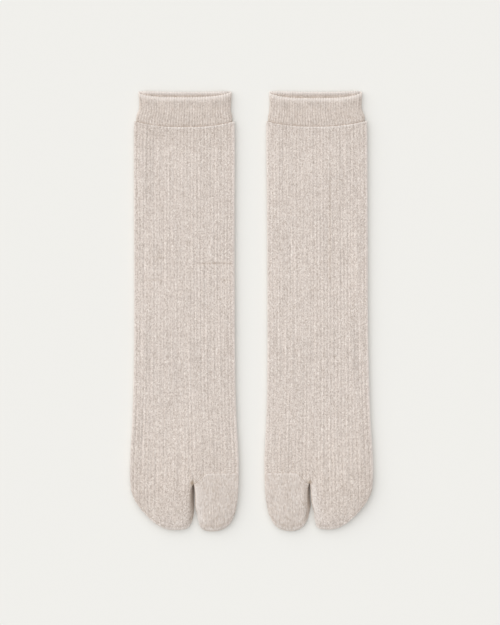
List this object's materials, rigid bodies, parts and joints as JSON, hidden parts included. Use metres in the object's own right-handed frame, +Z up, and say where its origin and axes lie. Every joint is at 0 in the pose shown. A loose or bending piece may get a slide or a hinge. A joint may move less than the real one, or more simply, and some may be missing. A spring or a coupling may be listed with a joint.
{
  "type": "pair of tabi socks",
  "caption": "Split-toe socks in ribbed knit, laid flat side by side with the toes down: fine-rib cuff, ribbed leg and foot, separate plain-knit big toe.",
  "frame": {"origin": "on the surface that the socks lie on, below the middle of the pair's bounding box", "axes": "+Z up from the surface through the flat socks, +Y along the socks from the toes to the cuffs, +X across the pair from the left sock to the right one as laid (big toes inward)"},
  "size_m": [0.2079, 0.3762, 0.0077],
  "materials": {
    "cuff_knit": "soft matt fine rib knit, heathered oatmeal",
    "leg_and_foot_knit": "soft matt rib knit, heathered oatmeal",
    "big_toe_knit": "soft matt plain knit, heathered oatmeal"
  },
  "bodies": {
    "root": {"left_big_toe": "big_toe_knit", "left_cuff": "cuff_knit", "left_leg_and_foot": "leg_and_foot_knit", "right_big_toe": "big_toe_knit", "right_cuff": "cuff_knit", "right_leg_and_foot": "leg_and_foot_knit"}
  },
  "joints": []
}
